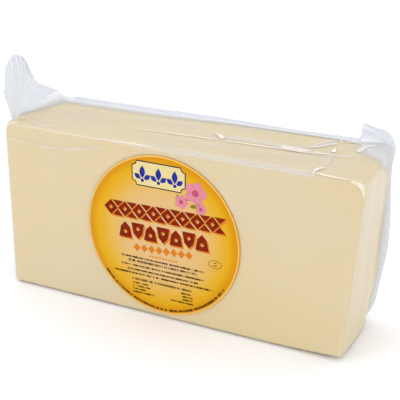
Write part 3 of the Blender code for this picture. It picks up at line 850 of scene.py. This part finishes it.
def build_tail(look, sizes):
    """The gathered mouth of the bag: two layers of film whose crumples run together towards the tip."""
    film = film_material("gathered_film", look, "#cbcfd2", 0.4, 18, 0.12, "#f6f8fa")
    depth = sizes.tail_pleat_depth / MM

    def place(u, v, side):
        y, z = on_tail(TAIL_FRONT, v) * (1 - u) + on_tail(TAIL_BACK, v) * u
        out = white = trough_shade = 0.0
        for y1, z1, y2, z2, width, height, bright in TAIL_STREAKS:
            share = ((y - y1) * (y2 - y1) + (z - z1) * (z2 - z1)) / ((y2 - y1) ** 2 + (z2 - z1) ** 2)
            share = min(1.0, max(0.0, share))
            gap = math.hypot(y - y1 - share * (y2 - y1), z - z1 - share * (z2 - z1))
            crest = math.exp(-((gap / width) ** 2)) * (0.55 + 0.45 * math.sin(math.pi * share))
            out += depth * height * crest * (1.0 if side >= 0 else -0.6)
            white = max(white, bright * crest)
            trough_shade = max(trough_shade, crest if height < 0 else 0.0)
        gathered = smooth_step(z, 148.0, 158.0)
        crumple = gathered * noise.noise(Vector((y * 0.30, z * 0.16, 3.1 * side)))
        broad = noise.noise(Vector((y * 0.07, z * 0.06, 1.7 * side)))
        held = arch(u, 0.5)
        x = tail_plane(v) + (out + 0.5 * crumple + (0.12 + 0.38 * gathered) * broad) * held
        x += side * (0.35 + 0.25 * held) * (1 - 0.5 * v)
        # Troughs get more milk, a painted shade; crests get a painted highlight, full on the outer layer and
        # 0.4 on the inner, and a faint painted highlight lies in an upright band low on the tail.
        milky = 0.36 + 0.10 * trough_shade + 0.07 * broad + 0.08 * crumple + 0.12 * near_rim(u, 0.95)
        band = math.exp(-(((y + 6) / 3.0) ** 2)) * (1 - smooth_step(z, 138.0, 150.0))
        return (x, y, z), milky, white * (1 if side > 0 else 0.4) + 0.05 * band

    def lobe(u, v, side):
        share = 0.6 + 0.38 * v
        y, z = on_tail(TAIL_BACK, share)
        y += (u * 2 - 0.6) * 1.5 * arch(v, 0.6) * (1 - 0.45 * v) - 0.5
        return (tail_plane(share) + 0.9 + 0.2 * side, y, z), 0.34 + 0.25 * abs(u - 0.5), 0.0

    return [pouch("tail", 150, 110, place, film), pouch("tail_lobe", 12, 50, lobe, film)]


def build_tail_fold(look, sizes):
    """The hard fold at the tail's root: a thin welt where the film turns down onto the block."""
    film = film_material("hard_folded_film", look, "#f4f3f6", 0.2, 4, 0.1, "#f8f9fa")
    places = ((-135.4, -4.0, 131.3), (-135.5, 2.0, 132.1), (-135.6, 11.4, 133.0), (-135.6, 25, 134.7))
    line = rounded((*places, (-135.6, 33.2, 136.0))) * MM
    welt = new_curve("tail_root_path", [line], bevel_depth=0.24 * MM, bevel_resolution=2, use_fill_caps=True)
    mesh = face_outwards(evaluated_mesh(welt), "tail_root_fold", 0.01 * MM)
    mesh.materials.append(film)
    # The welt's white is a painted highlight along the fold.
    store(mesh, haze=0.3, glint=0.55)
    return finish_piece("tail_root_fold", mesh, "film")


def rib_tree():
    """Upright bars in a row, as a heat seal leaves."""
    tree, node, given = new_tree("seal_ribs", Int=("Count",), Vector=("Start Location", "Offset", "Size"))
    row = {"Count": given, "Start Location": given, "Offset": given}
    row = node("GeometryNodeMeshLine", row, mode="OFFSET")
    bar = node("GeometryNodeMeshCube", {"Size": given, "Vertices Z": 12})
    return end_tree(tree, "GeometryNodeInstanceOnPoints", {"Points": row, "Instance": bar})


def build_end_folds(look, sizes):
    """The bag's mouth, folded flat on the left end: a tapering strip, a lower flap and a ribbed seal."""
    film = film_material("end_folded_film", look, "#e2e5ea", 0.2, 6, 0.25)

    def strip(u, v, side):
        front = np.interp(v, [0, 0.06, 0.7, 1], [-11, -15, -16, -21.5])
        back = np.interp(v, [0, 0.06, 0.7, 1], [10, 14, 17, 30])
        y, z = front + (back - front) * u, 9 + v * 117
        wave = 0.25 * math.sin(4.8 * math.pi * u + 2 * v) + 0.3 * noise.noise(Vector((0, y, z * 0.5)) * 0.09)
        x = LEFT - 0.85 - wave * arch(u, 0.5) + 0.12 * side
        rim = near_rim(u, 0.92)
        return (x, y, z), 0.30 + 0.10 * wave + 0.25 * rim, 0.12 * rim

    def flap(u, v, side):
        x = LEFT - 0.36 - 0.08 * math.sin(9 * u + 5 * v) + 0.08 * side
        rim = near_rim(u, 0.9)
        return (x, (u * 2 - 1) * (28 - 24 * v), 6 + 34 * v), 0.42 + 0.2 * rim, 0.12 * rim

    made = [pouch("end_strip", 48, 90, strip, film), pouch("end_flap", 50, 30, flap, film)]
    row = {"Count": 6, "Start Location": (LEFT - 1.2, -11.5, 56), "Offset": (0, 1.9, 0)}
    mesh = grow("end_seal_ribs", rib_tree(), {**row, "Size": (0.4, 0.8, 76), "Material": film})
    mesh.transform(Matrix.Scale(MM, 4))
    # The bars are fused solid, so they are nearly opaque.
    store(mesh, haze=0.85, glint=0.1)
    return [*made, finish_piece("end_seal_ribs", mesh, "film")]


# ---------------------------------------------------------------- the label


def on_label(mesh, front):
    """Stands a mesh drawn in X and Y upright on the label, this far in front of it."""
    place = Matrix.Translation((LABEL_CENTRE.x, LABEL_FACE - front, LABEL_CENTRE.z))
    mesh.transform(Matrix.Scale(MM, 4) @ place @ Matrix.Rotation(math.radians(90), 4, "X"))


def drawn(name, outlines):
    """Filled flat shapes from closed outlines; an outline inside another is a hole."""
    lines = [[(x, y, 0.0) for x, y in outline] for outline in outlines]
    flat = {"dimensions": "2D", "fill_mode": "BOTH", "extrude": PRINT_THICKNESS / 2}
    return face_outwards(evaluated_mesh(new_curve(name + "_outline", lines, True, **flat)), name, 0.001)


def moved(outline, x, y, turn=0.0):
    cos, sin = math.cos(turn), math.sin(turn)
    return [(x + px * cos - py * sin, y + px * sin + py * cos) for px, py in outline]


def ellipse(width, height, count=48):
    angles = [2 * math.pi * i / count for i in range(count)]
    return [(width / 2 * math.cos(a), height / 2 * math.sin(a)) for a in angles]


def rhombus(width, height):
    return [(width / 2, 0), (0, height / 2), (-width / 2, 0), (0, -height / 2)]


def petal(length, width, count, blunt):
    """A petal along +X from the origin, or a pointed leaf where blunt is 1."""
    shares = [i / count for i in range(count + 1)]
    up = [(length * t, width / 2 * math.sin(math.pi * t**blunt)) for t in shares]
    return up + [(x, -y) for x, y in up[-2:0:-1]]


def cartouche(width, height, bite, count=6):
    """A plate with its four corners bitten out in quarter circles."""
    w, h = width / 2, height / 2
    outline = []
    for sx, sy, start in ((1, 1, 270), (-1, 1, 0), (-1, -1, 90), (1, -1, 180)):
        for i in range(count + 1):
            a = math.radians(start - 90 * i / count)
            outline.append((sx * w + bite * math.cos(a), sy * h + bite * math.sin(a)))
    return outline


def end_motifs(tree, spots, operation, by, turn):
    """Ends the tree with its motif on these spots, each turned by turn times a sum with its index."""
    node = partial(add_node, tree)
    given = tree.nodes["Group Input"].outputs
    motif = node("GeometryNodeObjectInfo", {"Object": given["Motif"]}, transform_space="ORIGINAL")
    share = node("ShaderNodeMath", {0: node("GeometryNodeInputIndex"), 1: by}, operation=operation)
    angle = node("ShaderNodeMath", {0: share, 1: turn}, operation="MULTIPLY")
    spin = node("ShaderNodeCombineXYZ", {"Z": angle})
    copies = {"Points": spots, "Instance": motif.outputs["Geometry"], "Rotation": spin}
    return end_tree(tree, "GeometryNodeInstanceOnPoints", copies)


def repeat_tree():
    """A drawn motif repeated along a line, every second one turned half round if Turn is pi."""
    inputs = {"Object": ("Motif",), "Int": ("Count",), "Vector": ("Start Location", "Offset")}
    tree, node, given = new_tree("repeated_motif", Float=("Turn",), **inputs)
    row = {"Count": given, "Start Location": given, "Offset": given}
    row = node("GeometryNodeMeshLine", row, mode="OFFSET")
    return end_motifs(tree, row, "MODULO", 2.0, given["Turn"])


def ring_tree():
    """A drawn motif repeated round a circle, pointing outwards."""
    inputs = {"Object": ("Motif",), "Int": ("Vertices",), "Float": ("Radius",), "Vector": ("Translation",)}
    tree, node, given = new_tree("ringed_motif", **inputs)
    ring = node("GeometryNodeMeshCircle", {"Vertices": given, "Radius": given})
    ring = node("GeometryNodeTransform", {"Geometry": ring, "Translation": given})
    return end_motifs(tree, ring, "DIVIDE", given["Vertices"], 2 * math.pi)


def end_bars(tree, spots, spin):
    """Ends the tree with bars of uneven width and height on these spots, a few left out as between words."""
    node = partial(add_node, tree)
    given = tree.nodes["Group Input"].outputs
    keep = node("FunctionNodeRandomValue", {"Probability": 0.84, "Seed": given}, data_type="BOOLEAN")
    size = {0: given["Smallest"], 1: given["Largest"], "Seed": given}
    size = node("FunctionNodeRandomValue", size, data_type="FLOAT_VECTOR")
    bar = node("GeometryNodeMeshCube", {"Size": (1, 1, 1)})
    bars = {"Points": spots, "Selection": keep.outputs[3], "Instance": bar, "Rotation": spin, "Scale": size}
    return end_tree(tree, "GeometryNodeInstanceOnPoints", bars)


def bar_row_tree():
    """A row of fine bars, as small print looks from afar."""
    inputs = {"Int": ("Count", "Seed"), "Vector": ("Start Location", "Offset", "Smallest", "Largest")}
    tree, node, given = new_tree("bar_row", **inputs)
    row = {"Count": given, "Start Location": given, "Offset": given}
    return end_bars(tree, node("GeometryNodeMeshLine", row, mode="OFFSET"), (0, 0, 0))


def bar_arc_tree():
    """The same round an arc, its bars standing across it."""
    arc = ("Radius", "Start Angle", "Sweep Angle")
    tree, node, given = new_tree("bar_arc", Int=("Count", "Seed"), Float=arc, Vector=("Smallest", "Largest"))
    curve = {"Resolution": 128, "Radius": given, "Start Angle": given, "Sweep Angle": given}
    spots = {"Curve": node("GeometryNodeCurveArc", curve), "Count": given}
    spots = node("GeometryNodeCurveToPoints", spots)
    place = node("ShaderNodeSeparateXYZ", {0: node("GeometryNodeInputPosition")}).outputs
    angle = node("ShaderNodeMath", {0: place["Y"], 1: place["X"]}, operation="ARCTAN2")
    angle = node("ShaderNodeMath", {0: angle, 1: math.pi / 2}, operation="ADD")
    return end_bars(tree, spots, node("ShaderNodeCombineXYZ", {"Z": angle}))


def print_piece(name, mesh, layer):
    """A printed mesh as a piece on the label; a higher layer lies further in front."""
    on_label(mesh, PRINT_THICKNESS / 2 + PRINT_STEP * layer)
    return finish_piece(name, mesh, "label_print")


def printed(name, outlines, layer, ink):
    """Drawn shapes as a piece on the label."""
    mesh = drawn(name, outlines)
    mesh.materials.append(ink)
    return print_piece(name, mesh, layer)


def repeated(name, outlines, layer, tree, values):
    """A motif drawn from outlines, repeated by the tree, as a piece on the label."""
    motif = link_object(name + "_motif", drawn(name + "_motif", outlines))
    mesh = grow(name, tree, {"Motif": motif, **values})
    bpy.data.objects.remove(motif, do_unlink=True)
    return print_piece(name, mesh, layer)


def build_label(look, sizes):
    """The label's disc of printed paper, with a thin paler rim."""
    width = sizes.label_diameter / MM
    bm = bmesh.new()
    ends = {"radius1": width / 2, "radius2": width / 2, "depth": LABEL_THICKNESS}
    bmesh.ops.create_cone(bm, cap_ends=True, segments=192, **ends)
    mesh = bpy.data.meshes.new("label_disc")
    bm.to_mesh(mesh)
    bm.free()
    on_label(mesh, -LABEL_THICKNESS / 2)
    mesh.materials.append(label_material())
    disc = finish_piece("label_disc", mesh, "label", "round_label")
    bevel = disc.modifiers.new("soft_rim", "BEVEL")
    bevel.width = 0.1 * MM
    bevel.segments = 2
    bevel.limit_method = "ANGLE"
    rim = [ellipse(width - less, width - less, 160) for less in (0.3, 2.6)]
    return [disc, printed("label_rim", rim, 0, ink_material("pale_gold_ink", "#e3b45e"))]


def build_emblem(look, sizes):
    """The plate at the label's top with its three blue sprigs, and the pink blossoms beside it."""
    pink = ink_material("pink_ink", "#d28094")
    rose = ink_material("rose_ink", "#b64a6a")
    x, y = -2.0, 44.9
    border = moved(cartouche(42, 18.6, 3.6), x, y)
    ground = moved(cartouche(40.4, 17, 3.3), x, y)
    y -= 5.0
    sprigs = []
    for x in (-14.6, -2.0, 10.6):
        sprigs.append(moved(ellipse(2.6, 2.6, 20), x, y))
        for turn, length, width in ((35, 6.0, 3.6), (90, 9.2, 4.4), (145, 6.0, 3.6)):
            way = math.radians(turn)
            start = (x + 1.6 * math.cos(way), y + 1.6 * math.sin(way))
            sprigs.append(moved(petal(length, width, 10, 1), *start, way))
    made = [
        printed("plate_border", [border], 0, ink_material("navy_ink", "#161c30")),
        printed("plate_ground", [ground], 1, ink_material("pale_yellow_ink", "#d8c98f")),
        printed("plate_sprigs", sprigs, 2, ink_material("blue_ink", "#14288c")),
    ]
    tree = ring_tree()
    for number, (x, y, size) in enumerate(((26.2, 37.4, 8.4), (15.4, 29.2, 5.2), (30.4, 26.6, 4.2)), 1):
        values = {"Vertices": 5, "Radius": 0.12 * size, "Translation": (x, y, 0), "Material": pink}
        outline = petal(0.92 * size, 0.84 * size, 14, 1.3)
        made.append(repeated(f"blossom_{number}", [outline], 2, tree, values))
        heart = moved(ellipse(0.6 * size, 0.6 * size, 24), x, y)
        made.append(printed(f"blossom_heart_{number}", [heart], 3, rose))
    twigs = ((7.0, 3.0, 18.5, 31.0, 35), (6.5, 2.8, 22.0, 27.0, 10), (5.0, 2.2, 12.0, 34.4, -60))
    twigs = [moved(petal(long, wide, 10, 1), x, y, math.radians(turn)) for long, wide, x, y, turn in twigs]
    made.append(printed("blossom_leaves", twigs, 1, ink_material("olive_ink", "#7c7428")))
    return made


def build_ornament(look, sizes):
    """Two bold brown rows of woven-pattern motifs with an orange shadow, and a small orange row below."""
    brown = ink_material("red_brown_ink", "#791402")
    orange = ink_material("orange_ink", "#cb761f")
    tree = repeat_tree()
    upper_stud = [(1.4, 5.7), (10.0, 5.7), (5.7, 1.2)]
    lower_stud = [(1.4, -5.7), (5.7, -1.2), (10.0, -5.7)]
    diamond = [rhombus(11.0, 11.4), rhombus(3.4, 3.6), upper_stud, lower_stud]
    shield = [(-5.1, -6.0), (5.1, -6.0), (3.6, 2.2), (0, 6.0), (-3.6, 2.2)]
    wedge = [shield, moved(ellipse(2.8, 2.8, 18), 0, -1.6)]
    rows = (
        # name, outlines, layer, ink, count, start in X and Y, step in X and Y, turn
        ("upper_row_shadow", diamond, 0, orange, 8, (-39.5, 14.4), (11.4, 0.27), 0.0),
        ("upper_row", diamond, 1, brown, 8, (-40.6, 15.5), (11.4, 0.27), 0.0),
        ("lower_row_shadow", wedge, 0, orange, 7, (-28.1, -0.8), (10.1, 0.28), math.pi),
        ("lower_row", wedge, 1, brown, 7, (-29.2, 0.3), (10.1, 0.28), math.pi),
        ("orange_row", [rhombus(5.7, 6.4)], 0, orange, 8, (-20.0, -12.0), (5.9, 0.33), 0.0),
        ("orange_dots", [ellipse(1.7, 1.4, 14)], 0, orange, 9, (-9.4, -16.8), (2.6, 0.0), 0.0),
    )
    made = []
    for name, outlines, layer, ink, count, start, step, turn in rows:
        row = {"Count": count, "Start Location": (*start, 0), "Offset": (*step, 0), "Turn": turn}
        made.append(repeated(name, outlines, layer, tree, {**row, "Material": ink}))
    return made


# The small print's lines and table rows: start and end in X, Y and the height of its bars
PRINT_ROWS = (
    (-33.3, 34.2, -20.1, 1.3), (-27.6, 28.0, -22.9, 1.7), (-33.5, 34.0, -26.5, 1.3),
    (-27.8, 29.0, -29.8, 1.3), (-39.6, 41.0, -32.8, 1.3), (-23.8, 24.0, -37.1, 1.7),
    (-23.7, -11.0, -40.3, 1.2), (-23.7, -9.0, -42.7, 1.2), (-23.7, -13.0, -45.1, 1.2),
    (-23.7, -6.0, -47.5, 1.2), (15.5, 24.0, -40.3, 1.2), (16.5, 25.0, -42.7, 1.2), (16.5, 25.0, -45.1, 1.2),
    (7.0, 25.5, -47.5, 1.2),
)


def build_small_print(look, sizes):
    """The small print as fine bars: lines, a two-column table, an arc round the rim and a thin oval ring."""
    ink = ink_material("dark_brown_ink", "#301804")
    tree = bar_row_tree()
    made = []
    for number, (start, end, y, height) in enumerate(PRINT_ROWS, 1):
        step = 0.62 if height < 1.5 else 0.78
        row = {"Count": int((end - start) / step), "Start Location": (start, y, 0), "Offset": (step, 0, 0)}
        bars = {"Smallest": (0.34, height * 0.66, 0.05), "Largest": (0.68, height * 1.18, 0.05)}
        mesh = grow(f"print_row_{number}", tree, {**row, **bars, "Seed": number, "Material": ink})
        made.append(print_piece(f"print_row_{number}", mesh, 0))
    arc = {"Count": 112, "Radius": 56.8, "Start Angle": math.radians(217), "Sweep Angle": math.radians(111)}
    bars = {"Smallest": (0.5, 1.2, 0.05), "Largest": (0.95, 2.0, 0.05)}
    mesh = grow("rim_print", bar_arc_tree(), {**arc, **bars, "Seed": 20, "Material": ink})
    made.append(print_piece("rim_print", mesh, 0))
    ring = [moved(ellipse(10.2, 6.1), 41.4, -12.3), moved(ellipse(9.6, 5.5), 41.4, -12.3)]
    ring += [moved(rhombus(3.2, 0.7), 41.4, -11.3), moved(rhombus(5.0, 0.7), 41.4, -13.3)]
    made.append(printed("oval_ring", ring, 0, ink))
    return made


# ---------------------------------------------------------------- the stage

# The floor's half width and its gap under the block, in metres
FLOOR_REACH = 5.0
FLOOR_GAP = 0.0003
# Each softbox: its place and width in metres. All of them point at the middle of the block.
SOFTBOXES = {
    "overhead": ((-0.15, 0.35, 1.25), 1.3),
    "front": ((-0.75, -1.3, 0.75), 0.8),
    "side": ((1.5, -0.5, 0.6), 0.8),
}
LIGHT_TARGET = Vector((0, 0, 0.06))
# The camera was fitted to the block's edges in the photograph: its place in metres, its angles in degrees.
CAMERA_PLACE = (0.30721, -0.59834, 0.35536)
CAMERA_YAW, CAMERA_PITCH, CAMERA_ROLL = -26.541, 22.214, 0.249
CAMERA_LENS = 91.18


def build_stage(look, sizes):
    """The floor, the lights and the camera."""
    bm = bmesh.new()
    bmesh.ops.create_grid(bm, x_segments=8, y_segments=8, size=FLOOR_REACH)
    bmesh.ops.translate(bm, verts=bm.verts, vec=(0, 0, -FLOOR_GAP))
    mesh = bpy.data.meshes.new("floor")
    bm.to_mesh(mesh)
    bm.free()
    mesh.materials.append(floor_material())
    floor = link_object("floor", mesh)
    floor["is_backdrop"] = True

    world = bpy.data.worlds.new("studio")
    world.use_nodes = True
    background = world.node_tree.nodes["Background"].inputs
    background["Color"].default_value = (0.965, 0.975, 1.0, 1.0)
    background["Strength"].default_value = look.studio_fill
    bpy.context.scene.world = world

    for name, (place, width) in SOFTBOXES.items():
        light = bpy.data.lights.new(name + "_softbox", "AREA")
        light.size = width
        light.energy = getattr(look, name + "_power")
        obj = link_object(name + "_softbox", light)
        obj.location = place
        obj.rotation_mode = "QUATERNION"
        obj.rotation_quaternion = (LIGHT_TARGET - Vector(place)).to_track_quat("-Z", "Y")

    yaw, pitch, roll = (math.radians(angle) for angle in (CAMERA_YAW, CAMERA_PITCH, CAMERA_ROLL))
    ahead = Vector((math.sin(yaw) * math.cos(pitch), math.cos(yaw) * math.cos(pitch), -math.sin(pitch)))
    side = ahead.cross(Vector((0, 0, 1))).normalized()
    right = side * math.cos(roll) + side.cross(ahead) * math.sin(roll)
    camera = bpy.data.cameras.new("camera")
    camera.sensor_width = 36.0
    camera.lens = CAMERA_LENS
    camera.clip_start = 0.01
    obj = link_object("camera", camera)
    turn = Matrix((right, right.cross(ahead), -ahead)).transposed()
    obj.matrix_world = Matrix.Translation(CAMERA_PLACE) @ turn.to_4x4()
    bpy.context.scene.camera = obj
    bpy.context.scene.view_settings.view_transform = "Standard"
    return [floor]


# ---------------------------------------------------------------- the add-on


def length_property(name, description, size):
    return FloatProperty(name=name, description=description, default=size * MM, unit="LENGTH")


def colour_property(name, description, code):
    return FloatVectorProperty(
        name=name, description=description, subtype="COLOR", size=3, min=0, max=1, default=srgb(code)[:3]
    )


def power_property(name, watts):
    description = f"Power of the {name.lower()} softbox"
    return FloatProperty(name=name, description=description, default=watts, unit="POWER")


class KashkavalSizes(bpy.types.PropertyGroup):
    """Sizes that a user would change."""

    edge_radius: length_property("Edge radius", "Rounding of the block's edges", 3.5)
    label_diameter: length_property("Label diameter", "Width of the round label", LABEL_WIDTH)
    tail_pleat_depth: length_property("Crumple depth", "Depth of the tail's crumples", 0.9)


class KashkavalLook(bpy.types.PropertyGroup):
    """Colours and lights that a user would change."""

    paste_colour: colour_property("Paste", "Pale colour of the cheese", "#d8c7a1")
    paste_deep_colour: colour_property("Deeper paste", "Yellower colour it drifts to", "#d8c597")
    paste_grain_colour: colour_property("Grain", "Colour of the pressed curd grains", "#d0bb8e")
    # The colour of the painted highlight on folds and crests.
    crease_colour: colour_property("Crease", "Colour of film along a sharp fold", "#faf0dc")
    studio_fill: FloatProperty(name="Fill", description="Strength of the even studio light", default=1.0)
    overhead_power: power_property("Overhead", 3.2)
    front_power: power_property("Front", 5.2)
    side_power: power_property("Side", 4.6)


def piece_operator(maker):
    """An operator that runs one of the makers above and is named after it."""
    words = maker.__name__.removeprefix("build_")

    def execute(self, context):
        if not maker(context.scene.kashkaval_look, context.scene.kashkaval_sizes):
            raise RuntimeError(f"{words} made nothing")
        return {"FINISHED"}

    contents = {
        "bl_idname": "kashkaval.add_" + words,
        "bl_label": words.replace("_", " ").capitalize(),
        "__doc__": maker.__doc__,
        "execute": execute,
    }
    return type("KASHKAVAL_OT_add_" + words, (bpy.types.Operator,), contents)


MAKERS = (
    build_stage, build_cheese, build_tight_film, build_pleats, build_flange, build_ear_folds, build_tail,
    build_tail_fold, build_end_folds, build_label, build_emblem, build_ornament, build_small_print,
)
OPERATORS = [piece_operator(maker) for maker in MAKERS]


class KASHKAVAL_PT_panel(bpy.types.Panel):
    """Lists the pieces in the sidebar."""

    bl_label = "Kashkaval"
    bl_idname = "KASHKAVAL_PT_panel"
    bl_space_type = "VIEW_3D"
    bl_region_type = "UI"
    bl_category = "Kashkaval"

    def draw(self, context):
        for group in (context.scene.kashkaval_sizes, context.scene.kashkaval_look):
            for name in group.bl_rna.properties.keys():
                if name not in ("name", "rna_type"):
                    self.layout.prop(group, name)
        for operator in OPERATORS:
            self.layout.operator(operator.bl_idname)


CLASSES = (KashkavalSizes, KashkavalLook, *OPERATORS, KASHKAVAL_PT_panel)


def register():
    for cls in CLASSES:
        bpy.utils.register_class(cls)
    bpy.types.Scene.kashkaval_sizes = PointerProperty(type=KashkavalSizes)
    bpy.types.Scene.kashkaval_look = PointerProperty(type=KashkavalLook)


def unregister():
    del bpy.types.Scene.kashkaval_look
    del bpy.types.Scene.kashkaval_sizes
    for cls in reversed(CLASSES):
        bpy.utils.unregister_class(cls)


def main():
    register()
    for operator in OPERATORS:
        getattr(bpy.ops.kashkaval, operator.bl_idname.split(".")[1])()
    boxes = [[list(corner) for corner in box] for box in (CAD_BOX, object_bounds())]


if __name__ == "__main__":
    main()
